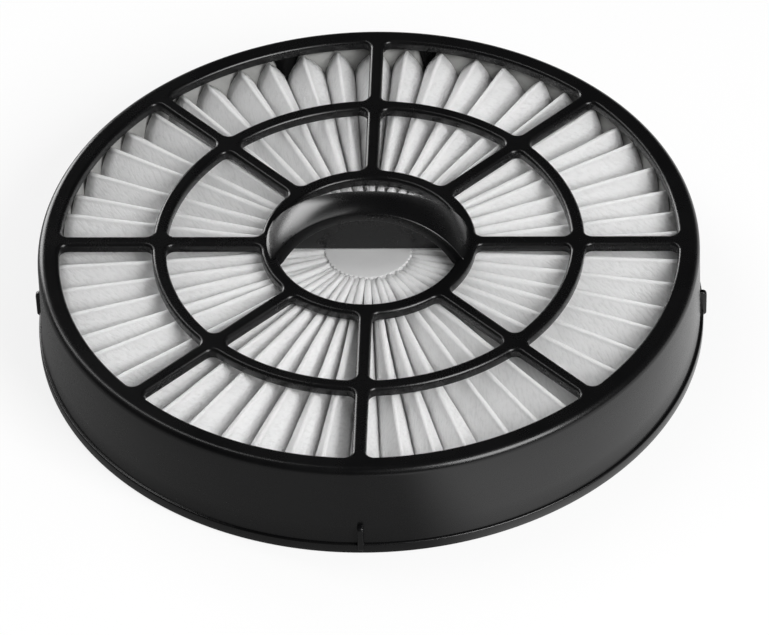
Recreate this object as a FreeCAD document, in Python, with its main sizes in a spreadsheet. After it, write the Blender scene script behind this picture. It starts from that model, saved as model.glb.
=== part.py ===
import FreeCAD, Part
import Sketcher
import math
import os
import re

# Round pleated vacuum cleaner filter. Its base lip stands on z = 0 and the drum's axis is Z.
doc = FreeCAD.newDocument("vacuum_filter")

# Driving dimensions in millimetres, apart from the counts and the turn of the pleats in degrees.
driving_sizes = {
    # Drum
    "rim_radius": 80.0,
    "drum_height": 25.4,
    "drum_flare": 0.4,
    "drum_wall": 2.0,
    "rim_chamfer": 1.2,
    "lip_overhang": 0.8,
    "lip_height": 2.8,
    # Locating ribs
    "rib_count": 4,
    "rib_width": 1.4,
    "rib_foot": 0.8,
    "rib_height": 8.4,
    "rib_reach": 0.7,
    "rib_rounding": 1.0,
    "rib_chamfer": 0.8,
    # Grille
    "grille_thickness": 2.6,
    "rim_width": 5.2,
    "mid_ring_radius": 50.6,
    "mid_ring_width": 3.4,
    "grip_ring_radius": 24.3,
    "grip_ring_width": 3.6,
    "spoke_count": 8,
    "spoke_width": 3.3,
    "window_corner": 2.0,
    # Finger grip
    "grip_span": 48.4,
    "grip_rise": 13.0,
    "grip_thickness": 3.2,
    "grip_waist": 8.4,
    "grip_foot": 15.0,
    "grip_chamfer": 1.6,
    "grip_root": 0.9,
    "web_thickness": 2.0,
    "web_drop": 2.2,
    # Pleated sheet
    "pleat_count": 54,
    "pleat_turn": 4.0,
    "media_thickness": 0.45,
    "media_base": 2.4,
    "crest_clearance": 0.2,
    # Plug and sealant
    "hub_radius": 10.2,
    "hub_chamfer": 0.6,
    "hub_drop": 0.3,
    "bond_clearance": 0.15,
    "sealant_width": 2.5,
    "sealant_drop": 0.6,
    "sealant_slope": 1.6,
    "void_count": 2,
    "void_valley": 11,
    "void_step": 4,
    "void_width": 4.4,
    "void_depth": 9.0,
}

sizes = doc.addObject("Spreadsheet::Sheet", "Sizes")
for row, (name, amount) in enumerate(driving_sizes.items(), start=1):
    sizes.set(f"A{row}", name)
    sizes.set(f"B{row}", str(amount))
    sizes.setAlias(f"B{row}", name)
doc.recompute()

# Formulas that several features share, in the sheet's own words.
lip_radius = "(rim_radius + drum_flare + lip_overhang)"
window_outer = "(rim_radius - rim_width)"
mid_ring_outer = "(mid_ring_radius + mid_ring_width / 2)"
mid_ring_inner = "(mid_ring_radius - mid_ring_width / 2)"
grip_ring_outer = "(grip_ring_radius + grip_ring_width / 2)"
centre_opening = "(grip_ring_radius - grip_ring_width / 2)"
grille_underside = "(drum_height - grille_thickness)"
crest_height = f"({grille_underside} - crest_clearance)"
grip_arc = "((grip_span ^ 2 / 4 + grip_rise ^ 2) / (2 * grip_rise))"
grip_arc_centre = f"(drum_height + grip_rise - {grip_arc})"
wall_inside = "(rim_radius - drum_wall)"
media_inner = "(hub_radius + bond_clearance)"
media_outer = f"({wall_inside} - sealant_width)"
pleat_pitch = "(360 / pleat_count)"
half_pleat = "(180 / pleat_count)"


def in_sheet(formula):
    """Name each word of a formula that is a cell of the sheet as Sizes.word."""
    def cell(word):
        return f"Sizes.{word[0]}" if word[0] in driving_sizes else word[0]
    return re.sub(r"[a-z_]+", cell, formula)


def value(formula):
    """The number that a formula gives, with angles in degrees."""
    result = sizes.evalExpression(in_sheet(formula))
    return float(getattr(result, "Value", result))


def bind(item, setting, formula):
    item.setExpression(setting, in_sheet(formula))


def new_body(label):
    body = doc.addObject("PartDesign::Body", label)
    body.Label = label
    return body


def origin_feature(body, role):
    return next(feature for feature in body.Origin.OriginFeatures if feature.Role == role)


def new_sketch(body, name, plane, offset=None):
    sketch = body.newObject("Sketcher::SketchObject", name)
    sketch.AttachmentSupport = [(origin_feature(body, plane), "")]
    sketch.MapMode = "FlatFace"
    if offset:
        bind(sketch, "AttachmentOffset.Base.z", offset)
    return sketch


def dimension(sketch, constraint, formula):
    index = sketch.addConstraint(constraint)
    bind(sketch, f"Constraints[{index}]", formula)


def place_point(sketch, segment, end, corner):
    """Dimension one end of a segment from the sketch's origin, or lay it on an axis."""
    for kind, axis, formula in (("DistanceX", -2, corner[0]), ("DistanceY", -1, corner[1])):
        amount = value(formula)
        if formula == "0":
            sketch.addConstraint(Sketcher.Constraint("PointOnObject", segment, end, axis))
        elif amount > 0:
            dimension(sketch, Sketcher.Constraint(kind, -1, 1, segment, end, amount), formula)
        else:
            dimension(sketch, Sketcher.Constraint(kind, segment, end, -1, 1, -amount), f"-({formula})")


def arc_between(start, end, radius, left_turn):
    """The short arc from start to end that turns left, or right."""
    chord = end - start
    rise = math.sqrt(max(radius ** 2 - chord.Length ** 2 / 4, 0))
    across = FreeCAD.Vector(-chord.y, chord.x, 0).normalize()
    centre = (start + end) / 2 + across * (rise if left_turn else -rise)
    ends = (start, end) if left_turn else (end, start)
    angles = [math.atan2(point.y - centre.y, point.x - centre.x) for point in ends]
    return Part.ArcOfCircle(Part.Circle(centre, FreeCAD.Vector(0, 0, 1), radius), *angles)


def draw_outline(sketch, corners, arcs=None):
    """Close an outline through corners. arcs gives a segment's radius and whether it turns left."""
    arcs = arcs or {}
    points = [FreeCAD.Vector(value(x), value(y), 0) for x, y in corners]
    count = len(points)
    base = sketch.GeometryCount
    ends = []
    for index, start in enumerate(points):
        end = points[(index + 1) % count]
        if index in arcs:
            radius, left_turn = arcs[index]
            sketch.addGeometry(arc_between(start, end, value(radius), left_turn), False)
            ends.append((1, 2) if left_turn else (2, 1))
        else:
            sketch.addGeometry(Part.LineSegment(start, end), False)
            ends.append((1, 2))
    for index in range(count):
        following = (index + 1) % count
        joined = (base + index, ends[index][1], base + following, ends[following][0])
        sketch.addConstraint(Sketcher.Constraint("Coincident", *joined))
    for index, corner in enumerate(corners):
        # The straight segment that starts or ends at the corner carries its dimensions.
        starts_here = index not in arcs
        segment = index if starts_here else (index - 1) % count
        place_point(sketch, base + segment, 1 if starts_here else 2, corner)
    for index, (radius, _) in arcs.items():
        dimension(sketch, Sketcher.Constraint("Radius", base + index, value(radius)), radius)


def revolve(body, sketch):
    turned = body.newObject("PartDesign::Revolution", f"{sketch.Name}_turned")
    turned.Profile = sketch
    turned.ReferenceAxis = (sketch, ["V_Axis"])
    turned.Angle = 360
    return turned


def pad_both_ways(body, sketch, thickness):
    pad = body.newObject("PartDesign::Pad", f"{sketch.Name}_pad")
    pad.Profile = sketch
    pad.SideType = "Symmetric"
    bind(pad, "Length", thickness)
    return pad


def pocket(body, sketch, depth=None):
    """Cut down from the sketch, right through unless a depth is given."""
    before = body.Tip.Shape.Volume
    cut = body.newObject("PartDesign::Pocket", f"{sketch.Name}_cut")
    cut.Profile = sketch
    if depth:
        bind(cut, "Length", depth)
    else:
        cut.Type = "ThroughAll"
    doc.recompute()
    if cut.Shape.Volume >= before:
        raise RuntimeError(f"{cut.Name} removes nothing")
    return cut


def polar_pattern(body, feature, count, angle="360"):
    pattern = body.newObject("PartDesign::PolarPattern", f"{feature.Name}_pattern")
    pattern.Originals = [feature]
    pattern.Axis = (origin_feature(body, "Z_Axis"), [""])
    bind(pattern, "Angle", angle)
    bind(pattern, "Occurrences", count)
    body.Tip = pattern
    doc.recompute()
    return pattern


def fillet(body, name, radius, wanted):
    """Round each edge of the body's last feature that the wanted test picks."""
    doc.recompute()
    base = body.Tip
    picked = [f"Edge{index}" for index, edge in enumerate(base.Shape.Edges, start=1) if wanted(edge)]
    rounded = body.newObject("PartDesign::Fillet", name)
    rounded.Base = (base, picked)
    bind(rounded, "Radius", radius)
    doc.recompute()


def same(one, other):
    return math.isclose(one, other, abs_tol=1e-5)


def radius_of(point):
    return math.hypot(point.x, point.y)


# Frame: drum wall, rim, base lip and a closed top plate with the centre opening.
frame = new_body("filter_frame")
drum = new_sketch(frame, "drum", "XZ_Plane")
draw_outline(drum, [
    (wall_inside, "0"),
    (lip_radius, "0"),
    (lip_radius, "lip_height"),
    ("rim_radius + drum_flare", "lip_height"),
    ("rim_radius", "drum_height - rim_chamfer"),
    ("rim_radius - rim_chamfer", "drum_height"),
    (centre_opening, "drum_height"),
    (centre_opening, grille_underside),
    (wall_inside, grille_underside),
])
revolve(frame, drum)


# Grille windows: two rows of sectors between the rings, with spokes of even width left standing.
def cut_windows(name, inner, outer):
    window = new_sketch(frame, name, "XY_Plane", "drum_height")
    turn = "360 deg / spoke_count"
    outer_side = f"asin(spoke_width / 2 / {outer})"
    inner_side = f"asin(spoke_width / 2 / {inner})"
    draw_outline(window, [
        (f"{outer} * cos({outer_side})", f"{outer} * sin({outer_side})"),
        (f"{outer} * cos({turn} - {outer_side})", f"{outer} * sin({turn} - {outer_side})"),
        (f"{inner} * cos({turn} - {inner_side})", f"{inner} * sin({turn} - {inner_side})"),
        (f"{inner} * cos({inner_side})", f"{inner} * sin({inner_side})"),
    ], {0: (outer, True), 2: (inner, False)})
    doc.recompute()
    polar_pattern(frame, pocket(frame, window), "spoke_count")


cut_windows("outer_window", mid_ring_outer, window_outer)
cut_windows("inner_window", grip_ring_outer, mid_ring_inner)


def is_window_corner(edge):
    ends = [vertex.Point for vertex in edge.Vertexes]
    if len(ends) < 2 or not isinstance(edge.Curve, Part.Line):
        return False
    upright = same(ends[0].x, ends[1].x) and same(ends[0].y, ends[1].y)
    reach = radius_of(ends[0])
    return upright and value(grip_ring_outer) - 0.01 < reach < value(window_outer) + 0.01


fillet(frame, "window_corners", "window_corner", is_window_corner)

# Finger grip: an arched strap across the centre opening, widest where it runs into the ring.
grip_end_angle = f"acos(({grip_arc} - grip_rise - grip_root) / {grip_arc})"
sections_each_side = 3
strap_sections = []
for number in range(-sections_each_side, sections_each_side + 1):
    share = abs(number) / sections_each_side
    section = new_sketch(frame, f"strap_{number + sections_each_side}", "YZ_Plane")
    lean = FreeCAD.Rotation(FreeCAD.Vector(1 if number >= 0 else -1, 0, 0), value(grip_end_angle) * share)
    section.AttachmentOffset = FreeCAD.Placement(FreeCAD.Vector(0, value(grip_arc_centre), 0), lean)
    bind(section, "AttachmentOffset.Base.y", grip_arc_centre)
    if number:
        bind(section, "AttachmentOffset.Rotation.Angle", f"{grip_end_angle} * {share}")
    half_width = f"(grip_waist / 2 + (grip_foot - grip_waist) / 2 * {share} ^ 2)"
    underside = f"({grip_arc} - grip_thickness)"
    shoulder = f"({grip_arc} - grip_chamfer)"
    draw_outline(section, [
        (f"-{half_width}", underside),
        (half_width, underside),
        (half_width, shoulder),
        (f"{half_width} - grip_chamfer", grip_arc),
        (f"grip_chamfer - {half_width}", grip_arc),
        (f"-{half_width}", shoulder),
    ])
    strap_sections.append(section)
doc.recompute()
strap = frame.newObject("PartDesign::AdditiveLoft", "strap")
strap.Profile = strap_sections[0]
strap.Sections = [(section, [""]) for section in strap_sections[1:]]

# Web: an upright plate under the strap, from ring to ring.
web_arc = f"({grip_arc} - grip_thickness / 2)"
web_bottom = "(drum_height - web_drop)"
web_half_chord = f"sqrt({web_arc} ^ 2 - ({web_bottom} - {grip_arc_centre}) ^ 2)"
web = new_sketch(frame, "web", "XZ_Plane")
draw_outline(web, [
    (f"-{web_half_chord}", web_bottom),
    (web_half_chord, web_bottom),
], {1: (web_arc, True)})
pad_both_ways(frame, web, "web_thickness")

# Locating ribs: short fins on the foot of the drum, rounded above and chamfered below.
rib_root = "(rim_radius - drum_wall / 2)"
rib_face = f"({lip_radius} + rib_reach)"
rib = new_sketch(frame, "rib", "XZ_Plane")
draw_outline(rib, [
    (rib_root, "rib_foot"),
    (f"{rib_face} - rib_chamfer", "rib_foot"),
    (rib_face, "rib_foot + rib_chamfer"),
    (rib_face, "rib_height - rib_rounding"),
    (f"{rib_face} - rib_rounding", "rib_height"),
    (rib_root, "rib_height"),
], {3: ("rib_rounding", True)})
polar_pattern(frame, pad_both_ways(frame, rib, "rib_width"), "rib_count")

# Pleated sheet: one fold spans from the hub to the bead, and its copies are sewn into one solid.
def fold_section(reach):
    """A fold's corners at a radius: flat crest, two leaning walls and half a valley each side."""
    half_width = reach * math.tan(math.radians(value(half_pleat)))
    sheet = value("media_thickness")
    top, bottom = value(crest_height), value("media_base")
    right_half = [
        (sheet, top),
        (half_width, bottom + sheet),
        (half_width, bottom),
        (half_width - sheet, bottom),
    ]
    left_half = [(-across, height) for across, height in reversed(right_half)]
    corners = right_half + [(0, top - sheet)] + left_half
    return [FreeCAD.Vector(reach, across, height) for across, height in corners]


def flat_face(*corners):
    return Part.Face(Part.makePolygon([*corners, corners[0]]))


def fold_faces():
    """The skin of one fold, without the two sides where it joins its neighbours."""
    hub_end, rim_end = fold_section(value(media_inner)), fold_section(value(media_outer))
    count = len(hub_end)
    joined_sides = (1, count - 3)
    faces = [flat_face(*hub_end), flat_face(*rim_end)]
    for index in range(count):
        if index in joined_sides:
            continue
        following = (index + 1) % count
        # A wall twists, so it creases from its crest at the hub to its valley at the rim.
        high, low = sorted((index, following), key=lambda corner: -hub_end[corner].z)
        faces.append(flat_face(hub_end[high], rim_end[high], rim_end[low]))
        faces.append(flat_face(hub_end[high], rim_end[low], hub_end[low]))
    return faces


skin = Part.makeCompound(fold_faces())
folds = []
for number in range(int(value("pleat_count"))):
    fold = skin.copy()
    fold.rotate(FreeCAD.Vector(0, 0, 0), FreeCAD.Vector(0, 0, 1), number * value(pleat_pitch))
    folds += fold.Faces
sheet_shell = Part.makeShell(folds)
sheet_shell.sewShape()
media = doc.addObject("Part::Feature", "pleated_media")
media.Label = "pleated_media"
media.Shape = Part.makeSolid(sheet_shell)
media.Placement.Rotation = FreeCAD.Rotation(FreeCAD.Vector(0, 0, 1), value("pleat_turn"))

# Hub plug: closes the inner ends of the pleats.
hub = new_body("hub_plug")
hub_top = f"({crest_height} - hub_drop)"
plug = new_sketch(hub, "plug", "XZ_Plane")
draw_outline(plug, [
    ("0", "media_base"),
    ("hub_radius - hub_chamfer", "media_base"),
    ("hub_radius", "media_base + hub_chamfer"),
    ("hub_radius", f"{hub_top} - hub_chamfer"),
    ("hub_radius - hub_chamfer", hub_top),
    ("0", hub_top),
])
revolve(hub, plug)

# Edge sealant: a bead between the pleats and the drum wall, which slopes up to the wall.
bead = new_body("edge_sealant")
bead_inside = f"({media_outer} / cos({half_pleat}) + bond_clearance)"
bead_top = f"({crest_height} - sealant_drop)"
bead_profile = new_sketch(bead, "bead", "XZ_Plane")
draw_outline(bead_profile, [
    (bead_inside, "media_base"),
    (wall_inside, "media_base"),
    (wall_inside, bead_top),
    (bead_inside, f"{bead_top} - sealant_slope"),
])
revolve(bead, bead_profile)
doc.recompute()

# Two voids in the bead, each at the end of a valley, where the dark wall shows.
void_turn = f"(pleat_turn + (void_valley + 0.5) * {pleat_pitch})"
void_near = f"({media_outer} - sealant_width)"
void_far = "rim_radius"
void = new_sketch(bead, "void", "XY_Plane", bead_top)
draw_outline(void, [
    (
        f"{reach} * cos({void_turn}) - {side} * sin({void_turn})",
        f"{reach} * sin({void_turn}) + {side} * cos({void_turn})",
    )
    for reach, side in (
        (void_near, "-void_width / 2"),
        (void_far, "-void_width / 2"),
        (void_far, "void_width / 2"),
        (void_near, "void_width / 2"),
    )
])
doc.recompute()
polar_pattern(bead, pocket(bead, void, "void_depth"), "void_count", f"void_step * {pleat_pitch}")

doc.recompute()
for item in doc.Objects:
    if "Invalid" in item.State or "Error" in item.State:
        raise RuntimeError(f"{item.Name} failed: {item.State}")
sub_parts = [frame, media, hub, bead]
for sub_part in sub_parts:
    if sub_part.Shape.isNull() or not sub_part.Shape.isValid():
        raise RuntimeError(f"{sub_part.Label} has no valid shape")

os.makedirs("parts", exist_ok=True)
for sub_part in sub_parts:
    sub_part.Shape.exportStep(f"parts/{sub_part.Label}.step")
    print(sub_part.Label, len(sub_part.Shape.Solids), "solids", round(sub_part.Shape.Volume), "cubic mm")
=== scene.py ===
import math

import bmesh
import bpy
from mathutils import Matrix, Vector, geometry, noise


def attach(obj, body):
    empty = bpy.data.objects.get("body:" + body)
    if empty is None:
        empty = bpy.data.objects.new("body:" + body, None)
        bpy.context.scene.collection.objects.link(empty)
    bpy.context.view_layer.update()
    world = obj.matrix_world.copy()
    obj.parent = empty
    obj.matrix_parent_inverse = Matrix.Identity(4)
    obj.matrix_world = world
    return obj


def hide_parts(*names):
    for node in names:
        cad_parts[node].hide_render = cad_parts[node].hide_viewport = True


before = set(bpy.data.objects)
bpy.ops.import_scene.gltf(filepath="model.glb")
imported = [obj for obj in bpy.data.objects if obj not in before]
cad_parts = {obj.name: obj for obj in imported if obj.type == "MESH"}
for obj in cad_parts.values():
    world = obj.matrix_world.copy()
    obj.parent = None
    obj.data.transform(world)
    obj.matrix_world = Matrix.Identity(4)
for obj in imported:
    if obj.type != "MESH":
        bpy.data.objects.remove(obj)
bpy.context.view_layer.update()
mm = 0.001
scene = bpy.context.scene
print("frame loaded:", ", ".join(sorted(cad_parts)))


# Small helpers for node trees and meshes

def put(tree, kind, inputs=None, **settings):
    node = tree.nodes.new(kind)
    for name, setting in settings.items():
        setattr(node, name, setting)
    for key, source in (inputs or {}).items():
        if isinstance(source, bpy.types.NodeSocket):
            tree.links.new(source, node.inputs[key])
        else:
            node.inputs[key].default_value = source
    return node


def calc(tree, operation, first, second=0.0):
    return put(tree, "ShaderNodeMath", {0: first, 1: second}, operation=operation).outputs[0]


def blendColours(tree, share, first, second):
    inputs = {"Factor": share, 6: first, 7: second}
    return put(tree, "ShaderNodeMix", inputs, data_type="RGBA").outputs[2]


def spread(tree, source, lowest, highest):
    inputs = {"Value": source, "To Min": lowest, "To Max": highest}
    return put(tree, "ShaderNodeMapRange", inputs).outputs["Result"]


def newGroup(name, kind, sockets):
    tree = bpy.data.node_groups.new(name, kind)
    for label, direction, socketType, start in sockets:
        socket = tree.interface.new_socket(name=label, in_out=direction, socket_type=socketType)
        if start is not None:
            socket.default_value = start
    entry = tree.nodes.new("NodeGroupInput")
    leave = tree.nodes.new("NodeGroupOutput")
    return tree, entry.outputs, leave.inputs


def setInputs(modifier, tree, values):
    for item in tree.interface.items_tree:
        if item.item_type == "SOCKET" and item.in_out == "INPUT" and item.name in values:
            modifier[item.identifier] = values[item.name]


def newObject(name, mesh):
    piece = bpy.data.objects.new(name, mesh)
    scene.collection.objects.link(piece)
    return piece


def bakeModifiers(piece):
    depsgraph = bpy.context.evaluated_depsgraph_get()
    depsgraph.update()
    made = bpy.data.meshes.new_from_object(
        piece.evaluated_get(depsgraph), preserve_all_data_layers=True, depsgraph=depsgraph)
    piece.modifiers.clear()
    piece.data = made
    return piece


def closedShell(vertices, faces):
    shell = bmesh.new()
    made = [shell.verts.new(Vector(point) * mm) for point in vertices]
    for face in faces:
        shell.faces.new([made[index] for index in face])
    bmesh.ops.recalc_face_normals(shell, faces=shell.faces)
    return shell


def joinRings(faces, first, second):
    count = len(first)
    for index in range(count):
        following = (index + 1) % count
        faces.append((first[index], first[following], second[following], second[index]))


def joinAll(faces, rings):
    for first, second in zip(rings, rings[1:]):
        joinRings(faces, first, second)


def addRing(vertices, points):
    start = len(vertices)
    vertices.extend(points)
    return list(range(start, start + len(points)))


def circle(radius, height, count):
    turns = (2 * math.pi * index / count for index in range(count))
    return [(radius * math.cos(turn), radius * math.sin(turn), height) for turn in turns]


def quarter(steps):
    return [math.pi / 2 * step / steps for step in range(steps + 1)]


# Shared shader groups: fine moulded grain, and soft cloudy patches
grainMix = {"fine": 0.7, "coarse": 0.3, "coarseScale": 0.22}
cloudContrast = (-0.35, 1.35)


def grainGroup():
    tree, given, wanted = newGroup("fineGrain", "ShaderNodeTree", (
        ("Coordinates", "INPUT", "NodeSocketVector", None),
        ("Grains per metre", "INPUT", "NodeSocketFloat", 1500.0),
        ("Grain", "OUTPUT", "NodeSocketFloat", None),
    ))
    fine = put(tree, "ShaderNodeTexNoise",
               {"Vector": given["Coordinates"], "Scale": given["Grains per metre"], "Detail": 3.0})
    wider = calc(tree, "MULTIPLY", given["Grains per metre"], grainMix["coarseScale"])
    coarse = put(tree, "ShaderNodeTexNoise", {"Vector": given["Coordinates"], "Scale": wider})
    mixed = calc(tree, "ADD", calc(tree, "MULTIPLY", fine.outputs[0], grainMix["fine"]),
                 calc(tree, "MULTIPLY", coarse.outputs[0], grainMix["coarse"]))
    tree.links.new(mixed, wanted["Grain"])
    return tree


def cloudGroup():
    tree, given, wanted = newGroup("softClouds", "ShaderNodeTree", (
        ("Coordinates", "INPUT", "NodeSocketVector", None),
        ("Clouds per metre", "INPUT", "NodeSocketFloat", 40.0),
        ("Clouds", "OUTPUT", "NodeSocketFloat", None),
    ))
    soft = put(tree, "ShaderNodeTexNoise", {
        "Vector": given["Coordinates"], "Scale": given["Clouds per metre"],
        "Detail": 4.0, "Roughness": 0.6})
    tree.links.new(spread(tree, soft.outputs[0], *cloudContrast), wanted["Clouds"])
    return tree


fineGrain = grainGroup()
softClouds = cloudGroup()


def useGroup(tree, group, coordinates, scale):
    node = put(tree, "ShaderNodeGroup", node_tree=group)
    tree.links.new(coordinates, node.inputs["Coordinates"])
    node.inputs[1].default_value = scale
    return node.outputs[0]


def newMaterial(name):
    material = bpy.data.materials.new(name)
    material.use_nodes = True
    tree = material.node_tree
    shader = tree.nodes["Principled BSDF"]
    return material, tree, shader, put(tree, "ShaderNodeTexCoord").outputs["Object"]


def addBump(tree, shader, height, strength, distance):
    bump = put(tree, "ShaderNodeBump", {"Height": height, "Strength": strength, "Distance": distance})
    tree.links.new(bump.outputs["Normal"], shader.inputs["Normal"])


# Black satin plastic of the moulded frame
plasticFinish = {
    "dark": (0.0022, 0.0022, 0.0024, 1), "light": (0.0045, 0.0045, 0.0048, 1),
    "roughness": (0.22, 0.33), "specular": 0.45, "grainsPerMetre": 2600.0, "cloudsPerMetre": 55.0,
    "sheenMix": (0.45, 0.55), "bumpStrength": 0.05, "bumpDistance": 0.00006,
}


def mouldedPlastic():
    look = plasticFinish
    material, tree, shader, place = newMaterial("satinBlackPlastic")
    grain = useGroup(tree, fineGrain, place, look["grainsPerMetre"])
    clouds = useGroup(tree, softClouds, place, look["cloudsPerMetre"])
    tree.links.new(blendColours(tree, clouds, look["dark"], look["light"]), shader.inputs["Base Color"])
    fromGrain, fromClouds = look["sheenMix"]
    sheen = calc(tree, "ADD", calc(tree, "MULTIPLY", grain, fromGrain),
                 calc(tree, "MULTIPLY", clouds, fromClouds))
    tree.links.new(spread(tree, sheen, *look["roughness"]), shader.inputs["Roughness"])
    shader.inputs["Specular IOR Level"].default_value = look["specular"]
    addBump(tree, shader, grain, look["bumpStrength"], look["bumpDistance"])
    return material


# White embossed fleece: oblique pressed specks, loose fibres and paler fold lines, which are fuzzy fibres
# together with a painted highlight along the crests
fleeceFinish = {
    # The crest colour is paler: fuzzy fibres and a painted highlight along the fold crests
    "body": (0.92, 0.92, 0.92, 1), "speck": (0.8, 0.8, 0.8, 1), "crest": (0.95, 0.95, 0.95, 1),
    "speckScale": (0.55, 1.5, 1.0), "speckTurn": math.radians(58), "speckRange": (0.46, 0.66),
    "patchRange": (0.25, 1.0), "fuzzRange": (-0.6, 2.0), "fibresPerMetre": 2200.0, "fuzzPerMetre": 900.0,
    "cloudsPerMetre": 70.0, "speckDepth": -0.7, "fibreHeight": 0.5, "bumpStrength": 0.55,
    "bumpDistance": 0.00022, "roughness": 0.95, "specular": 0.15, "sheen": 0.25, "glow": 0.9,
    "glowDepth": 0.0022,
}


def embossedFleece():
    look = fleeceFinish
    material, tree, shader, place = newMaterial("embossedFleece")
    flat = put(tree, "ShaderNodeUVMap", uv_map="fleeceMap").outputs[0]
    rotation = (0, 0, look["speckTurn"])
    turned = put(tree, "ShaderNodeMapping", {"Vector": flat, "Rotation": rotation}).outputs[0]
    drawnOut = put(tree, "ShaderNodeVectorMath", {0: turned, 1: look["speckScale"]},
                   operation="MULTIPLY").outputs[0]
    streaks = put(tree, "ShaderNodeTexNoise", {"Vector": drawnOut, "Scale": 1.0, "Detail": 2.0}).outputs[0]
    lowest, highest = look["speckRange"]
    specks = put(tree, "ShaderNodeMapRange",
                 {"Value": streaks, "From Min": lowest, "From Max": highest}).outputs["Result"]
    fibres = useGroup(tree, fineGrain, place, look["fibresPerMetre"])
    clouds = useGroup(tree, softClouds, place, look["cloudsPerMetre"])
    uneven = calc(tree, "MULTIPLY", specks, spread(tree, clouds, *look["patchRange"]))
    cloth = blendColours(tree, uneven, look["body"], look["speck"])
    # Painted highlight along the crests, broken up by fibre fuzz
    crest = put(tree, "ShaderNodeAttribute", attribute_name="crest").outputs["Fac"]
    fuzz = useGroup(tree, fineGrain, place, look["fuzzPerMetre"])
    fuzzyCrestHighlight = calc(tree, "MULTIPLY", crest, spread(tree, fuzz, *look["fuzzRange"]))
    tree.links.new(blendColours(tree, fuzzyCrestHighlight, cloth, look["crest"]), shader.inputs["Base Color"])
    shader.inputs["Roughness"].default_value = look["roughness"]
    shader.inputs["Specular IOR Level"].default_value = look["specular"]
    shader.inputs["Sheen Weight"].default_value = look["sheen"]
    shader.inputs["Subsurface Weight"].default_value = look["glow"]
    shader.inputs["Subsurface Radius"].default_value = (1.0, 1.0, 1.0)
    shader.inputs["Subsurface Scale"].default_value = look["glowDepth"]
    raised = calc(tree, "ADD", calc(tree, "MULTIPLY", uneven, look["speckDepth"]),
                  calc(tree, "MULTIPLY", fibres, look["fibreHeight"]))
    addBump(tree, shader, raised, look["bumpStrength"], look["bumpDistance"])
    return material


# Cast compounds: light grey in the hub; along the drum wall the pale compound is drawn darker grey,
# painted shade from the rim overhang
plugFinish = {
    "dark": (0.6, 0.6, 0.6, 1), "light": (0.66, 0.66, 0.66, 1), "cloudsPerMetre": 160.0,
    "roughness": (0.55, 0.75),
}
# Darker than the pale compound itself: painted shade of the rim overhang on the bead
shadedEdgeFinish = {
    "dark": (0.22, 0.22, 0.215, 1), "light": (0.38, 0.38, 0.37, 1), "cloudsPerMetre": 120.0,
    "roughness": (0.45, 0.7),
}
castFinish = {"grainsPerMetre": 1400.0, "specular": 0.3, "bumpStrength": 0.25, "bumpDistance": 0.00012}


def castCompound(name, look):
    material, tree, shader, place = newMaterial(name)
    grain = useGroup(tree, fineGrain, place, castFinish["grainsPerMetre"])
    clouds = useGroup(tree, softClouds, place, look["cloudsPerMetre"])
    tree.links.new(blendColours(tree, clouds, look["dark"], look["light"]), shader.inputs["Base Color"])
    tree.links.new(spread(tree, grain, *look["roughness"]), shader.inputs["Roughness"])
    shader.inputs["Specular IOR Level"].default_value = castFinish["specular"]
    uneven = calc(tree, "ADD", grain, clouds)
    addBump(tree, shader, uneven, castFinish["bumpStrength"], castFinish["bumpDistance"])
    return material


blackPlastic = mouldedPlastic()
whiteFleece = embossedFleece()
plugCompound = castCompound("greyPlugCompound", plugFinish)
shadedEdgeCompound = castCompound("paleEdgeCompoundInPaintedShade", shadedEdgeFinish)
print("materials ready")


# Moulded frame: drum, lip, grille, grip and ribs, all in millimetres
drum = {
    "radius": 80.0, "height": 25.4, "flare": 0.4, "wall": 2.0, "rimRound": 2.0, "lipOverhang": 0.8,
    "lipHeight": 2.8, "lipRound": 0.4, "footRound": 0.3, "cornerRound": 0.8, "segments": 320,
    "lipNeck": ((0.0, 0.35), (0.1, 0.08)),  # out from the wall and above the lip, at two points
}
grille = {
    "thickness": 2.6, "rimWidth": 5.2, "midRadius": 50.6, "midWidth": 3.4, "gripRadius": 24.3,
    "gripWidth": 3.6, "spokes": 8, "spokeWidth": 3.3, "corner": 2.0, "edgeRound": 1.0, "underRound": 0.25,
    "holeSegments": 120, "cornerSteps": 9, "outerSteps": 28, "innerSteps": 20,
}
grip = {
    "span": 48.4, "rise": 13.0, "thickness": 3.2, "waist": 8.4, "foot": 15.0, "sink": 0.3,
    "edgeRound": 0.35, "underRound": 0.2, "crown": 1.0, "flatFeet": 0.8, "footRound": 2.5,
    "steps": 64, "footSteps": 10, "crownSteps": 8,
    "webThickness": 2.0, "webDrop": 2.2, "webRound": 0.3, "webInset": 0.05, "webSteps": 40,
}
rib = {
    "count": 4, "width": 1.4, "foot": 0.8, "height": 8.4, "reach": 0.7, "rounding": 1.0, "chamfer": 0.8,
    "bevel": 0.3, "bevelAngle": 0.6, "buried": 0.5,
}


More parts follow.
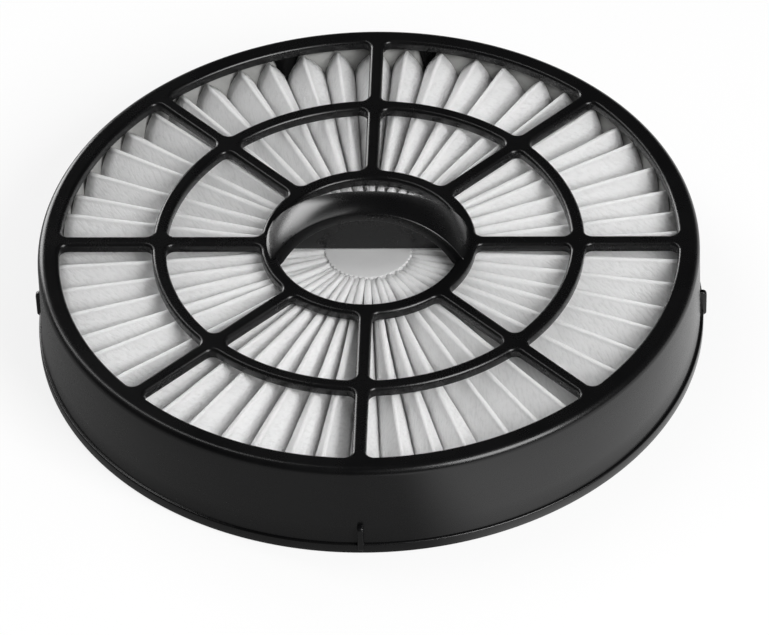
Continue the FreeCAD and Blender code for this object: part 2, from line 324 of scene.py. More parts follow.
def windowOutline(inner, outer, number, grow):
    # A sector between two spokes, with rounded corners; grow widens it by that much all round
    turn = 2 * math.pi / grille["spokes"]
    side = grille["spokeWidth"] / 2 - grow
    corner = grille["corner"] + grow
    outer, inner = outer + grow, inner - grow
    far = math.asin((side + corner) / (outer - corner))
    near = math.asin((side + corner) / (inner + corner))
    points = []

    def roundCorner(reach, bearing, start, end):
        for step in range(grille["cornerSteps"] + 1):
            angle = start + (end - start) * step / grille["cornerSteps"]
            points.append((reach * math.cos(bearing) + corner * math.cos(angle),
                           reach * math.sin(bearing) + corner * math.sin(angle)))

    roundCorner(outer - corner, far, -math.pi / 2, far)
    for step in range(1, grille["outerSteps"]):
        angle = far + (turn - 2 * far) * step / grille["outerSteps"]
        points.append((outer * math.cos(angle), outer * math.sin(angle)))
    roundCorner(outer - corner, turn - far, turn - far, turn + math.pi / 2)
    roundCorner(inner + corner, turn - near, turn + math.pi / 2, turn - near + math.pi)
    for step in range(1, grille["innerSteps"]):
        angle = turn - near + (2 * near - turn) * step / grille["innerSteps"]
        points.append((inner * math.cos(angle), inner * math.sin(angle)))
    roundCorner(inner + corner, near, near + math.pi, 1.5 * math.pi)
    spin = Matrix.Rotation(number * turn, 2)
    return [spin @ Vector(point) for point in points]


def edgeProfile():
    # How far the opening widens, and the height, from the flat top down to the flat underside
    top, bottom = grille["edgeRound"], grille["underRound"]
    upper = drum["height"]
    lower = upper - grille["thickness"]
    steps = [(top - top * math.sin(angle), upper - top + top * math.cos(angle)) for angle in quarter(6)]
    steps += [(bottom - bottom * math.cos(angle), lower + bottom - bottom * math.sin(angle))
              for angle in quarter(2)]
    return steps


def drumProfile():
    # From the flat rim outwards, down the wall, round the lip and up the inside
    rim, lip, foot, inside = drum["rimRound"], drum["lipRound"], drum["footRound"], drum["cornerRound"]
    radius, height, lipTop = drum["radius"], drum["height"], drum["lipHeight"]
    wallFoot = radius + drum["flare"]
    lipRadius = wallFoot + drum["lipOverhang"]
    within = radius - drum["wall"]
    under = height - grille["thickness"]
    steps = [(radius - rim + rim * math.sin(angle), height - rim + rim * math.cos(angle))
             for angle in quarter(10)]
    for share in (0.25, 0.5, 0.75):
        steps.append((radius + drum["flare"] * share, height - rim + (lipTop - height + rim) * share))
    steps += [(wallFoot + out, lipTop + above) for out, above in drum["lipNeck"]]
    steps += [(lipRadius - lip + lip * math.sin(angle), lipTop - lip + lip * math.cos(angle))
              for angle in quarter(4)]
    steps += [(lipRadius - foot + foot * math.cos(angle), foot - foot * math.sin(angle))
              for angle in quarter(3)]
    steps += [(within + foot - foot * math.sin(angle), foot - foot * math.cos(angle))
              for angle in quarter(3)]
    steps += [(within, under * 0.5)]
    steps += [(within - inside + inside * math.cos(angle), under - inside + inside * math.sin(angle))
              for angle in quarter(3)]
    return steps


def drumAndGrille():
    vertices, faces = [], []
    midInner = grille["midRadius"] - grille["midWidth"] / 2
    midOuter = grille["midRadius"] + grille["midWidth"] / 2
    gripInner = grille["gripRadius"] - grille["gripWidth"] / 2
    gripOuter = grille["gripRadius"] + grille["gripWidth"] / 2
    rows = ((midOuter, drum["radius"] - grille["rimWidth"]), (gripOuter, midInner))
    tops, bottoms = [], []

    def wall(rings):
        joinAll(faces, rings)
        tops.append(rings[0])
        bottoms.append(rings[-1])

    wall([addRing(vertices, circle(reach, height, drum["segments"])) for reach, height in drumProfile()])
    wall([addRing(vertices, circle(gripInner + grow, height, grille["holeSegments"]))
          for grow, height in edgeProfile()])
    for inner, outer in rows:
        for number in range(grille["spokes"]):
            wall([addRing(vertices, [(x, y, height) for x, y in windowOutline(inner, outer, number, grow)])
                  for grow, height in edgeProfile()])
    for loops in (tops, bottoms):
        order = [index for loop in loops for index in loop]
        outlines = [[Vector(vertices[index]) for index in loop] for loop in loops]
        filled = geometry.tessellate_polygon(outlines)
        faces.extend(tuple(order[index] for index in face) for face in filled)
    flat = {index: side for loops, side in ((tops, 1), (bottoms, -1)) for loop in loops for index in loop}
    return vertices, faces, flat


def strapSection(share):
    # Outline across the strap, as (across, below the arc), from the crown round by the underside
    half = grip["waist"] / 2 + (grip["foot"] - grip["waist"]) / 2 * share ** 2
    edge, under, deep = grip["edgeRound"], grip["underRound"], grip["thickness"]
    crown = grip["crown"] * (1 - grip["flatFeet"] * share)
    slope = math.atan(2 * crown / half)
    shoulder = half - edge * (1 - math.sin(slope))
    parts = grip["crownSteps"]
    right = [(shoulder * part / parts, crown * (part / parts) ** 2) for part in range(parts)]
    turns = [slope + (math.pi / 2 - slope) * step / 4 for step in range(5)]
    right += [(shoulder + edge * (math.sin(turn) - math.sin(slope)),
               crown + edge * (math.cos(slope) - math.cos(turn))) for turn in turns]
    right += [(half - under + under * math.cos(angle), deep - under + under * math.sin(angle))
              for angle in quarter(3)]
    right += [(half * 0.5, deep)]
    left = [(-across, below) for across, below in reversed(right[1:])]
    return right + [(0, deep)] + left


def strapAndWeb():
    arc = (grip["span"] ** 2 / 4 + grip["rise"] ** 2) / (2 * grip["rise"])
    centre = drum["height"] + grip["rise"] - arc
    foot = grip["footRound"]
    # The lean of the arc where it runs into the hollow of the foot
    landing = math.acos((arc - grip["rise"] + foot) / (arc + foot))
    half = grip["steps"] // 2
    leans = [landing * step / half for step in range(half + 1)]
    path = [(arc * math.sin(lean), centre + arc * math.cos(lean), lean) for lean in leans]
    for step in range(1, grip["footSteps"] + 1):
        done = step / grip["footSteps"]
        lean = landing * (1 - done)
        along = (arc + foot) * math.sin(landing) - foot * math.sin(lean)
        path.append((along, drum["height"] + foot - foot * math.cos(lean) - grip["sink"] * done, lean))
    path = [(-along, height, -lean) for along, height, lean in reversed(path[1:])] + path
    vertices, faces, rings = [], [], []
    for along, height, lean in path:
        ring = []
        share = abs(along) / path[-1][0]
        for across, below in strapSection(share):
            curl = math.copysign(share ** 3 * across ** 2 / (2 * grille["gripRadius"]), along)
            ring.append((along - below * math.sin(lean) - curl, across, height - below * math.cos(lean)))
        rings.append(addRing(vertices, ring))
    joinAll(faces, rings)
    faces += [tuple(rings[0]), tuple(rings[-1])]
    strap = closedShell(vertices, faces)

    vertices, faces, rings = [], [], []
    half, edge = grip["webThickness"] / 2, grip["webRound"]
    bottom = drum["height"] - grip["webDrop"]
    buried = arc - grip["thickness"] / 2
    reach = math.sqrt(buried ** 2 - (bottom - centre) ** 2) - grip["webInset"]
    bend = edge * 0.3  # the middle of each rounded lower edge
    for step in range(grip["webSteps"] + 1):
        along = reach * (2 * step / grip["webSteps"] - 1)
        top = max(centre + math.sqrt(buried ** 2 - along ** 2), bottom + edge + grip["webInset"])
        right = [(half - edge, bottom), (half - bend, bottom + bend), (half, bottom + edge), (half, top)]
        left = [(-across, height) for across, height in reversed(right)]
        rings.append(addRing(vertices, [(along, across, height) for across, height in left + right]))
    joinAll(faces, rings)
    faces += [tuple(rings[0]), tuple(rings[-1])]
    return strap, closedShell(vertices, faces)


def ribTree():
    tree, given, wanted = newGroup("locatingRibs", "GeometryNodeTree", (
        ("Geometry", "INPUT", "NodeSocketGeometry", None),
        ("Rib count", "INPUT", "NodeSocketInt", 4),
        ("Material", "INPUT", "NodeSocketMaterial", None),
        ("Geometry", "OUTPUT", "NodeSocketGeometry", None),
    ))
    places = put(tree, "GeometryNodePoints", {"Count": given["Rib count"]}).outputs[0]
    turn = calc(tree, "DIVIDE", 2 * math.pi, given["Rib count"])
    angle = calc(tree, "MULTIPLY", put(tree, "GeometryNodeInputIndex").outputs[0], turn)
    facing = put(tree, "ShaderNodeCombineXYZ", {"Z": angle}).outputs[0]
    copies = put(tree, "GeometryNodeInstanceOnPoints",
                 {"Points": places, "Instance": given["Geometry"], "Rotation": facing}).outputs[0]
    real = put(tree, "GeometryNodeRealizeInstances", {"Geometry": copies}).outputs[0]
    done = put(tree, "GeometryNodeSetMaterial",
               {"Geometry": real, "Material": given["Material"]}).outputs[0]
    tree.links.new(done, wanted["Geometry"])
    return tree


def locatingRibs():
    face = drum["radius"] + drum["flare"] + drum["lipOverhang"] + rib["reach"]
    root = drum["radius"] - drum["wall"] / 2
    foot, cut, bend = rib["foot"], rib["chamfer"], rib["rounding"]
    outline = [(root, foot), (face - cut, foot), (face, foot + cut)]
    outline += [(face - bend + bend * math.cos(angle), rib["height"] - bend + bend * math.sin(angle))
                for angle in quarter(4)]
    outline += [(root, rib["height"])]
    vertices, faces = [], []
    half = rib["width"] / 2
    front = addRing(vertices, [(reach, -half, height) for reach, height in outline])
    back = addRing(vertices, [(reach, half, height) for reach, height in outline])
    joinRings(faces, front, back)
    faces += [tuple(front), tuple(back)]
    shell = closedShell(vertices, faces)
    edges = [edge for edge in shell.edges if edge.calc_face_angle(0) > rib["bevelAngle"] and
             max(math.hypot(*vertex.co.xy) for vertex in edge.verts) > (root + rib["buried"]) * mm]
    bmesh.ops.bevel(shell, geom=edges, offset=rib["bevel"] * mm, segments=3, affect="EDGES", profile=0.5)
    mesh = bpy.data.meshes.new("rib")
    shell.to_mesh(mesh)
    ribs = newObject("ribs", mesh)
    tree = ribTree()
    ring = ribs.modifiers.new("ring", "NODES")
    ring.node_group = tree
    setInputs(ring, tree, {"Rib count": rib["count"], "Material": blackPlastic})
    return bakeModifiers(ribs)


def mouldedFrame():
    vertices, faces, flat = drumAndGrille()
    whole = closedShell(vertices, faces)
    joined = bpy.data.meshes.new("filterFrame")
    ribs = locatingRibs()
    whole.from_mesh(ribs.data)
    bpy.data.objects.remove(ribs)
    for shell in strapAndWeb():
        part = bpy.data.meshes.new("part")
        shell.to_mesh(part)
        whole.from_mesh(part)
        bpy.data.meshes.remove(part)
    for face in whole.faces:
        face.smooth = True
        face.material_index = 0
    whole.to_mesh(joined)
    joined.materials.clear()
    joined.materials.append(blackPlastic)
    joined.set_sharp_from_angle(angle=math.radians(50))
    corners = [corner.vector.copy() for corner in joined.corner_normals]
    for loop in joined.loops:
        if loop.vertex_index in flat:  # the flat top and underside are lit as flat faces
            corners[loop.index] = Vector((0, 0, flat[loop.vertex_index]))
    joined.normals_split_custom_set(corners)
    return newObject("filterFrame", joined)


frameShell = mouldedFrame()
print("moulded frame:", len(frameShell.data.polygons), "faces")


# Pleated fleece: one fold is drawn flat and repeated round the hub, each a little different
pleat = {
    "count": 54, "turn": math.radians(4.0), "inner": 9.9, "outer": 75.5, "base": 2.6, "crest": 22.35,
    "thickness": 0.45, "hubRound": 0.95, "rimRound": 0.1, "roundingPower": 3.0, "valleyRound": 0.04,
    "belly": 2.2, "touch": 0.45, "wallShares": (0.03, 0.08, 0.15, 0.24, 0.34, 0.45, 1.0), "rows": 22,
    "crestStray": math.radians(0.85), "valleyStray": math.radians(0.5), "heightStray": 0.7, "seed": 7,
    "ripple": 0.4, "ripplesPerMetre": 70.0, "clothPerFold": 40.9, "crestRun": 2.0, "valleyRun": 0.6,
    # The paler fold line below is a painted highlight together with fibre fuzz
    "crestHighlightFade": (0.3, 12.0),  # how fast the paler fold line ends, round the crest and down the wall
}


def foldStrip():
    # Columns run from one valley over the crest to the next; each carries its share of arc, wall and drop
    crestArc = [(math.sin(angle), 0.0, 0.0, 1 - math.cos(angle), 0.0, 0.0) for angle in quarter(5)]
    wall = []
    for share in pleat["wallShares"]:
        closing = min(1.0, share / pleat["touch"])  # neighbouring walls touch from this depth down
        wall.append((1.0, 1 - (1 - closing) ** pleat["belly"], 0.0, 1.0, share, 0.0))
    valleyArc = [(1.0, 1.0, 1 - math.cos(angle), 1.0, 1.0, math.sin(angle)) for angle in quarter(2)[1:]]
    half = crestArc + wall + valleyArc
    columns = [(-1, *item) for item in reversed(half[1:])] + [(1, *item) for item in half]
    rows, width = pleat["rows"], len(columns)
    vertices = [(row / rows, index, 0) for row in range(rows + 1) for index in range(width)]
    faces = []
    for row in range(rows):
        for index in range(width - 1):
            near, far = row * width + index, (row + 1) * width + index
            faces.append((near, far, far + 1, near + 1))
    mesh = bpy.data.meshes.new("foldStrip")
    mesh.from_pydata(vertices, [], faces)

    def store(name, values):
        mesh.attributes.new(name, "FLOAT", "POINT").data.foreach_set("value", values)

    names = ("side", "crestArc", "lean", "valleyArc", "crestDrop", "wallDrop", "valleyDrop")
    for name, values in zip(names, zip(*columns)):
        store(name, list(values) * (rows + 1))
    wallRun = pleat["crest"] - pleat["base"] - pleat["crestRun"]
    roundFade, wallFade = pleat["crestHighlightFade"]
    # Share of the painted crest highlight for each column
    runs, crestHighlightShares = [], []
    for side, _, _, _, drop, wallShare, low in columns:
        runs.append(side * (drop * pleat["crestRun"] + wallShare * wallRun + low * pleat["valleyRun"]))
        crestHighlightShares.append(max(0.0, 1 - drop * roundFade - wallShare * wallFade))
    store("run", runs * (rows + 1))
    store("crest", crestHighlightShares * (rows + 1))
    store("reach", [row / rows for row in range(rows + 1) for index in range(width)])
    return mesh


def pleatTree():
    tree, given, wanted = newGroup("pleatFan", "GeometryNodeTree", (
        ("Geometry", "INPUT", "NodeSocketGeometry", None),
        ("Fold count", "INPUT", "NodeSocketInt", 54),
        ("Turn", "INPUT", "NodeSocketFloat", 0.0),
        ("Inner radius", "INPUT", "NodeSocketFloat", 0.01),
        ("Outer radius", "INPUT", "NodeSocketFloat", 0.075),
        ("Base height", "INPUT", "NodeSocketFloat", 0.002),
        ("Crest height", "INPUT", "NodeSocketFloat", 0.022),
        ("Crest rounding at hub", "INPUT", "NodeSocketFloat", 0.6),
        ("Crest rounding at rim", "INPUT", "NodeSocketFloat", 0.3),
        ("Rounding power", "INPUT", "NodeSocketFloat", 3.0),
        ("Valley rounding", "INPUT", "NodeSocketFloat", 0.2),
        ("Crest stray", "INPUT", "NodeSocketFloat", 0.01),
        ("Valley stray", "INPUT", "NodeSocketFloat", 0.01),
        ("Height stray", "INPUT", "NodeSocketFloat", 0.0005),
        ("Ripple", "INPUT", "NodeSocketFloat", 0.0002),
        ("Ripples per metre", "INPUT", "NodeSocketFloat", 60.0),
        ("Cloth per fold", "INPUT", "NodeSocketFloat", 40.0),
        ("Seed", "INPUT", "NodeSocketInt", 1),
        ("Material", "INPUT", "NodeSocketMaterial", None),
        ("Geometry", "OUTPUT", "NodeSocketGeometry", None),
    ))

    def read(name, kind="FLOAT"):
        node = put(tree, "GeometryNodeInputNamedAttribute", {"Name": name}, data_type=kind)
        return next(socket for socket in node.outputs if socket.enabled and socket.name == "Attribute")

    def stray(number, amount, seedShift):
        low = calc(tree, "MULTIPLY", amount, -1.0)
        seed = calc(tree, "ADD", given["Seed"], seedShift)
        node = put(tree, "FunctionNodeRandomValue", {2: low, 3: amount, "ID": number, "Seed": seed},
                   data_type="FLOAT")
        return node.outputs[1]

    places = put(tree, "GeometryNodePoints", {"Count": given["Fold count"]}).outputs[0]
    copies = put(tree, "GeometryNodeInstanceOnPoints",
                 {"Points": places, "Instance": given["Geometry"]}).outputs[0]
    number = put(tree, "GeometryNodeInputIndex").outputs[0]
    marked = put(tree, "GeometryNodeStoreNamedAttribute",
                 {"Geometry": copies, "Name": "fold", "Value": number},
                 data_type="INT", domain="INSTANCE").outputs[0]
    real = put(tree, "GeometryNodeRealizeInstances", {"Geometry": marked}).outputs[0]

    fold = read("fold", "INT")
    side = read("side")
    pitch = calc(tree, "DIVIDE", 2 * math.pi, given["Fold count"])
    half = calc(tree, "MULTIPLY", pitch, 0.5)
    inward = calc(tree, "POWER", calc(tree, "SUBTRACT", 1.0, read("reach")), given["Rounding power"])
    fuller = calc(tree, "SUBTRACT", given["Crest rounding at hub"], given["Crest rounding at rim"])
    rounding = calc(tree, "ADD", given["Crest rounding at rim"], calc(tree, "MULTIPLY", fuller, inward))
    crestArc = calc(tree, "MULTIPLY", half, rounding)
    valleyArc = calc(tree, "MULTIPLY", half, given["Valley rounding"])
    crestTurn = calc(tree, "ADD", calc(tree, "MULTIPLY", calc(tree, "ADD", fold, 0.5), pitch),
                     stray(fold, given["Crest stray"], 0))
    valleyNumber = calc(tree, "ADD", fold, calc(tree, "GREATER_THAN", side, 0.0))
    valleyId = calc(tree, "MODULO", valleyNumber, given["Fold count"])
    valleyTurn = calc(tree, "ADD", calc(tree, "MULTIPLY", valleyNumber, pitch),
                      stray(valleyId, given["Valley stray"], 1))
    arcs = calc(tree, "MULTIPLY", side, calc(tree, "ADD", crestArc, valleyArc))
    wall = calc(tree, "SUBTRACT", calc(tree, "SUBTRACT", valleyTurn, crestTurn), arcs)
    leaning = calc(tree, "MULTIPLY", wall, read("lean"))
    rounded = calc(tree, "ADD", calc(tree, "MULTIPLY", read("crestArc"), crestArc),
                   calc(tree, "MULTIPLY", read("valleyArc"), valleyArc))
    angle = calc(tree, "ADD", calc(tree, "ADD", crestTurn, given["Turn"]), leaning)
    angle = calc(tree, "ADD", angle, calc(tree, "MULTIPLY", side, rounded))

    span = calc(tree, "SUBTRACT", given["Outer radius"], given["Inner radius"])
    radius = calc(tree, "ADD", given["Inner radius"], calc(tree, "MULTIPLY", read("reach"), span))
    crestRadius = calc(tree, "MULTIPLY", radius, crestArc)
    valleyRadius = calc(tree, "MULTIPLY", radius, valleyArc)
    top = calc(tree, "SUBTRACT", given["Crest height"],
               calc(tree, "ABSOLUTE", stray(fold, given["Height stray"], 2)))
    depth = calc(tree, "SUBTRACT", calc(tree, "SUBTRACT", top, given["Base height"]),
                 calc(tree, "ADD", crestRadius, valleyRadius))
    height = calc(tree, "SUBTRACT", top, calc(tree, "MULTIPLY", crestRadius, read("crestDrop")))
    height = calc(tree, "SUBTRACT", height, calc(tree, "MULTIPLY", depth, read("wallDrop")))
    height = calc(tree, "SUBTRACT", height, calc(tree, "MULTIPLY", valleyRadius, read("valleyDrop")))
    spot = put(tree, "ShaderNodeCombineXYZ", {
        "X": calc(tree, "MULTIPLY", radius, calc(tree, "COSINE", angle)),
        "Y": calc(tree, "MULTIPLY", radius, calc(tree, "SINE", angle)),
        "Z": height}).outputs[0]
    folded = put(tree, "GeometryNodeSetPosition", {"Geometry": real, "Position": spot}).outputs[0]

    # The map of the cloth laid flat, in millimetres
    cloth = put(tree, "ShaderNodeCombineXYZ", {
        "X": calc(tree, "ADD", calc(tree, "MULTIPLY", fold, given["Cloth per fold"]), read("run")),
        "Y": calc(tree, "MULTIPLY", radius, 1000.0)}).outputs[0]
    mapped = put(tree, "GeometryNodeStoreNamedAttribute",
                 {"Geometry": folded, "Name": "fleeceMap", "Value": cloth},
                 data_type="FLOAT2", domain="CORNER").outputs[0]
    wave = put(tree, "ShaderNodeTexNoise", {
        "Vector": put(tree, "GeometryNodeInputPosition").outputs[0], "Scale": given["Ripples per metre"],
        "Detail": 1.0}).outputs["Color"]
    centred = put(tree, "ShaderNodeVectorMath", {0: wave, 1: (0.5, 0.5, 0.5)},
                  operation="SUBTRACT").outputs[0]
    push = put(tree, "ShaderNodeVectorMath", {0: centred, "Scale": given["Ripple"]},
               operation="SCALE").outputs[0]
    rippled = put(tree, "GeometryNodeSetPosition", {"Geometry": mapped, "Offset": push}).outputs[0]
    sewn = put(tree, "GeometryNodeMergeByDistance", {"Geometry": rippled, "Distance": 0.00001}).outputs[0]
    done = put(tree, "GeometryNodeSetMaterial",
               {"Geometry": sewn, "Material": given["Material"]}).outputs[0]
    tree.links.new(done, wanted["Geometry"])
    return tree


def pleatedFleece():
    piece = newObject("pleatedFleece", foldStrip())
    tree = pleatTree()
    fan = piece.modifiers.new("fan", "NODES")
    fan.node_group = tree
    setInputs(fan, tree, {
        "Fold count": pleat["count"], "Turn": pleat["turn"] - math.pi / pleat["count"],
        "Inner radius": pleat["inner"] * mm, "Outer radius": pleat["outer"] * mm,
        "Base height": pleat["base"] * mm, "Crest height": pleat["crest"] * mm,
        "Crest rounding at hub": pleat["hubRound"], "Crest rounding at rim": pleat["rimRound"],
        "Rounding power": pleat["roundingPower"], "Valley rounding": pleat["valleyRound"],
        "Crest stray": pleat["crestStray"], "Valley stray": pleat["valleyStray"],
        "Height stray": pleat["heightStray"] * mm, "Ripple": pleat["ripple"] * mm,
        "Ripples per metre": pleat["ripplesPerMetre"], "Cloth per fold": pleat["clothPerFold"],
        "Seed": pleat["seed"], "Material": whiteFleece,
    })
    skin = piece.modifiers.new("thickness", "SOLIDIFY")
    skin.thickness = pleat["thickness"] * mm
    skin.offset = 0.0
    bakeModifiers(piece)
    piece.data.shade_smooth()
    return piece


fleece = pleatedFleece()
print("pleated fleece:", len(fleece.data.polygons), "faces")


# Hub plug: a cast disc whose edge runs a little way into the valleys
plug = {
    "radius": 10.7, "top": 22.7, "middle": 12.0, "bottom": 2.5, "round": 0.3, "segments": 432,
    "dip": 0.12, "hollow": ((0.06, 1.0), (0.3, 0.8), (0.6, 0.4)),  # shares of the radius and of the dip
    "wave": 0.15, "waveFrom": 0.8, "uneven": 0.1, "unevenScale": 2.2,
}


def hubPlug():
    vertices, faces, rings = [], [], []
    top, bottom, bend = plug["top"], plug["bottom"], plug["round"]
    steps = [(share, top - plug["dip"] * part) for share, part in plug["hollow"]]
    edge = bend / plug["radius"]
    steps += [(1 - edge + edge * math.sin(angle), top - bend * (1 - math.cos(angle)))
              for angle in quarter(5)]
    steps += [(1.0, plug["middle"]), (1.0, bottom + bend)]
    steps += [(1 - edge + edge * math.cos(angle), bottom + bend * (1 - math.sin(angle)))
              for angle in quarter(3)[1:]]
    steps += [(plug["hollow"][0][0], bottom)]
    for share, height in steps:
        ring = []
        swell = plug["wave"] * max(0.0, (share - plug["waveFrom"]) / (1 - plug["waveFrom"]))
        for index in range(plug["segments"]):
            angle = 2 * math.pi * index / plug["segments"]
            wave = -math.cos(pleat["count"] * (angle - pleat["turn"])) * swell
            around = Vector((math.cos(angle), math.sin(angle), share))
            uneven = noise.noise(around * plug["unevenScale"]) * plug["uneven"] * share
            reach = plug["radius"] * share + wave - swell / 2 + uneven
            ring.append((reach * math.cos(angle), reach * math.sin(angle), height + uneven * 0.5))
        rings.append(addRing(vertices, ring))
    joinAll(faces, rings)
    faces += [tuple(rings[0]), tuple(rings[-1])]
    mesh = bpy.data.meshes.new("hubPlug")
    closedShell(vertices, faces).to_mesh(mesh)
    mesh.materials.append(plugCompound)
    mesh.shade_smooth()
    return newObject("hubPlug", mesh)


hub = hubPlug()


# Edge bead: sealant against the drum wall, drawn up into the valleys, with two voids
bead = {
    "wall": 77.95, "bottom": 2.45, "top": 21.7, "crownWidth": 1.0, "crownDrop": 0.9, "shoulder": 75.8,
    "shoulderDrop": 3.4, "tongue": 72.6, "tongueDrop": 14.5, "tonguePower": 0.75, "tongueCut": 0.3,
    "uneven": 0.9, "unevenScale": 11, "unevenShift": 0.4, "thinnest": 0.1, "segments": 540,
    "voids": ((80.67, 3.4, 7.0), (107.33, 4.8, 9.0)),  # bearing, width and depth of each
    "voidFull": 0.35, "voidSlope": 0.3,  # shares of a void's width, out from its middle
}


def edgeBead():
    vertices, faces, rings = [], [], []
    # Each ring has a radius, a share of the height and a drop below the top
    steps = [(bead["wall"], 0.0, 0.0), (bead["wall"], 0.5, 0.0), (bead["wall"], 1.0, 0.0)]
    steps += [(bead["wall"] - bead["crownWidth"], 1.0, bead["crownDrop"])]
    steps += [(bead["shoulder"], 1.0, bead["shoulderDrop"])]
    for share in (0.2, 0.4, 0.6, 0.8, 1.0):
        reach = bead["shoulder"] + (bead["tongue"] - bead["shoulder"]) * share
        drop = bead["shoulderDrop"] + bead["tongueDrop"] * share ** bead["tonguePower"]
        steps.append((reach, 1.0, drop))
    steps += [(bead["tongue"] + bead["tongueCut"], 0.0, 0.0)]
    for place, (reach, share, drop) in enumerate(steps):
        ring = []
        for index in range(bead["segments"]):
            angle = 2 * math.pi * index / bead["segments"]
            around = Vector((math.cos(angle), math.sin(angle), 0))
            shifted = around * bead["unevenScale"] + Vector((0, 0, place * bead["unevenShift"]))
            rough = noise.noise(shifted) * bead["uneven"]
            dip = 0.0
            for bearing, width, depth in bead["voids"]:
                off = abs(angle - math.radians(bearing)) * bead["wall"]
                fading = max(0.0, (off / width - bead["voidFull"]) / bead["voidSlope"])
                dip = max(dip, depth * (1 - min(1.0, fading)))
            height = bead["bottom"]
            if share > 0.0:
                highest = bead["top"] - drop + rough - dip
                height = max(height + bead["thinnest"], height + (highest - height) * share)
            ring.append((reach * around.x, reach * around.y, height))
        rings.append(addRing(vertices, ring))
    joinAll(faces, rings)
    joinRings(faces, rings[-1], rings[0])
    mesh = bpy.data.meshes.new("edgeBead")
    closedShell(vertices, faces).to_mesh(mesh)
    # The bead's darker grey is painted shade
    mesh.materials.append(shadedEdgeCompound)
    mesh.shade_smooth()
    return newObject("edgeBead", mesh)


sealant = edgeBead()
print("plug and bead ready")

for piece, node, slot in (
    (frameShell, "filter_frame", "black_plastic"),
    (fleece, "pleated_media", "filter_fleece"),
    (hub, "hub_plug", "plug_compound"),
    (sealant, "edge_sealant", "edge_compound"),
):
    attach(piece, "root")
    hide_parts(node)


# Stage: pale floor, soft lights and the photograph's camera
stage = {
    "floorColour": (0.22, 0.22, 0.22, 1), "floorRadius": 6.0, "floorGap": 0.0001, "floorGlow": 0.78,
    "glossGlow": (0.12, 1.0), "glossEdge": (0.012, 0.038), "glossFade": (0.045, 0.1), "glossFar": 0.65,
    "horizon": (0.1, 0.1, 0.1, 1), "overhead": (0.015, 0.015, 0.015, 1), "horizonBand": (0.05, 0.45),
    "ambient": (0.3, 0.3, 0.3, 1), "backdrop": (1, 1, 1, 1), "aim": (0, 0, 0.02),
}
lamps = {
    "keyLight": {"spot": (0.467, -0.467, 0.53), "size": (0.42, 0.42), "watts": 6.0},
    "stripLight": {"spot": (-0.48, 0.24, 0.65), "size": (0.12, 0.8), "watts": 1.3},
    "leftPanel": {"spot": (-0.503, 0.6, 0.196), "size": (0.36, 0.42), "watts": 3.0},
}
camera = {
    "focal": 5043.16, "width": 769, "elevation": math.radians(42.736), "azimuth": math.radians(-2.98),
    "roll": math.radians(-2.105), "distance": 1217.72, "shift": (-13.416, -78.551), "target": (0, 0, 25.4),
}


def floorMaterial():
    material = bpy.data.materials.new("paleFloor")
    material.use_nodes = True
    tree = material.node_tree
    tree.nodes.remove(tree.nodes["Principled BSDF"])
    matt = put(tree, "ShaderNodeBsdfDiffuse", {"Color": stage["floorColour"]}).outputs[0]
    path = put(tree, "ShaderNodeLightPath").outputs
    direct = calc(tree, "MAXIMUM", path["Is Camera Ray"], path["Is Transmission Ray"])
    seen = calc(tree, "MULTIPLY", direct, stage["floorGlow"])
    # The floor to the right of the object is mirrored brighter than the floor to its left
    place = put(tree, "ShaderNodeTexCoord").outputs["Object"]
    along = put(tree, "ShaderNodeSeparateXYZ", {0: place}).outputs[0]
    side = put(tree, "ShaderNodeMapRange", {
        "Value": along, "From Min": stage["glossEdge"][0], "From Max": stage["glossEdge"][1],
        "To Min": stage["glossGlow"][0], "To Max": stage["glossGlow"][1]},
        interpolation_type="SMOOTHSTEP").outputs["Result"]
    farther = put(tree, "ShaderNodeMapRange", {
        "Value": along, "From Min": stage["glossFade"][0], "From Max": stage["glossFade"][1],
        "To Min": 1.0, "To Max": stage["glossFar"]}).outputs["Result"]
    mirrored = calc(tree, "MULTIPLY", path["Is Glossy Ray"], calc(tree, "MULTIPLY", side, farther))
    glow = put(tree, "ShaderNodeEmission", {"Strength": calc(tree, "MAXIMUM", seen, mirrored)}).outputs[0]
    both = put(tree, "ShaderNodeAddShader", {0: matt, 1: glow}).outputs[0]
    tree.links.new(both, tree.nodes["Material Output"].inputs["Surface"])
    return material


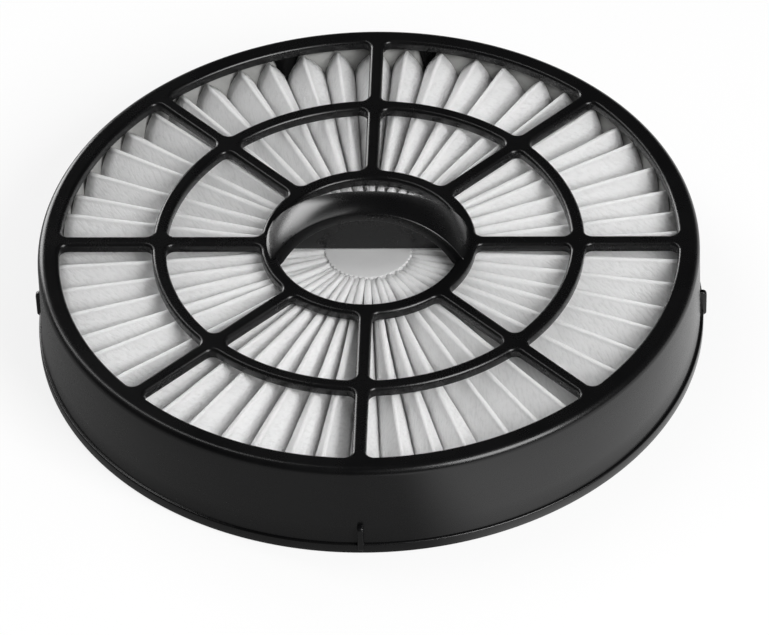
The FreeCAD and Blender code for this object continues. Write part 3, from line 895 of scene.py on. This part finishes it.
def setStage():
    plane = bmesh.new()
    bmesh.ops.create_circle(plane, cap_ends=True, segments=64, radius=stage["floorRadius"])
    mesh = bpy.data.meshes.new("floor")
    plane.to_mesh(mesh)
    mesh.transform(Matrix.Translation((0, 0, -stage["floorGap"])))
    mesh.materials.append(floorMaterial())
    newObject("floor", mesh)

    world = bpy.data.worlds.new("studio")
    scene.world = world
    world.use_nodes = True
    tree = world.node_tree
    direction = put(tree, "ShaderNodeTexCoord").outputs["Generated"]
    upward = put(tree, "ShaderNodeSeparateXYZ", {0: direction}).outputs[2]
    lowest, highest = stage["horizonBand"]
    lift = put(tree, "ShaderNodeMapRange", {"Value": upward, "From Min": lowest, "From Max": highest},
               interpolation_type="SMOOTHSTEP").outputs["Result"]
    mirrored = blendColours(tree, lift, stage["horizon"], stage["overhead"])
    path = put(tree, "ShaderNodeLightPath").outputs
    sky = blendColours(tree, path["Is Glossy Ray"], stage["ambient"], mirrored)
    seen = calc(tree, "MAXIMUM", path["Is Camera Ray"], path["Is Transmission Ray"])
    whole = blendColours(tree, seen, sky, stage["backdrop"])
    tree.links.new(whole, tree.nodes["Background"].inputs["Color"])

    for name, lamp in lamps.items():
        data = bpy.data.lights.new(name, "AREA")
        data.shape = "RECTANGLE"
        data.size, data.size_y = lamp["size"]
        data.energy = lamp["watts"]
        light = bpy.data.objects.new(name, data)
        light.location = lamp["spot"]
        aim = Vector(stage["aim"]) - light.location
        light.rotation_euler = aim.to_track_quat("-Z", "Y").to_euler()
        scene.collection.objects.link(light)


def setCamera():
    lift, swing, roll = camera["elevation"], camera["azimuth"], camera["roll"]
    across = Vector((math.cos(swing), -math.sin(swing), 0))
    ahead = Vector((math.sin(swing), math.cos(swing), 0))
    upward = ahead * math.sin(lift) + Vector((0, 0, math.cos(lift)))
    forward = ahead * math.cos(lift) - Vector((0, 0, math.sin(lift)))
    perPixel = camera["distance"] / camera["focal"]
    spot = Vector(camera["target"]) - forward * camera["distance"]
    spot -= across * camera["shift"][0] * perPixel
    spot += upward * camera["shift"][1] * perPixel
    sideways = across * math.cos(roll) + upward * math.sin(roll)
    upright = upward * math.cos(roll) - across * math.sin(roll)
    data = bpy.data.cameras.new("camera")
    data.sensor_fit = "HORIZONTAL"
    data.lens = camera["focal"] * data.sensor_width / camera["width"]
    data.clip_end = 20
    eye = bpy.data.objects.new("camera", data)
    turned = Matrix((sideways, upright, -forward)).transposed().to_4x4()
    eye.matrix_world = Matrix.Translation(spot * mm) @ turned
    scene.collection.objects.link(eye)
    scene.camera = eye


setStage()
setCamera()
scene.view_settings.view_transform = "Standard"
print("stage and camera ready")
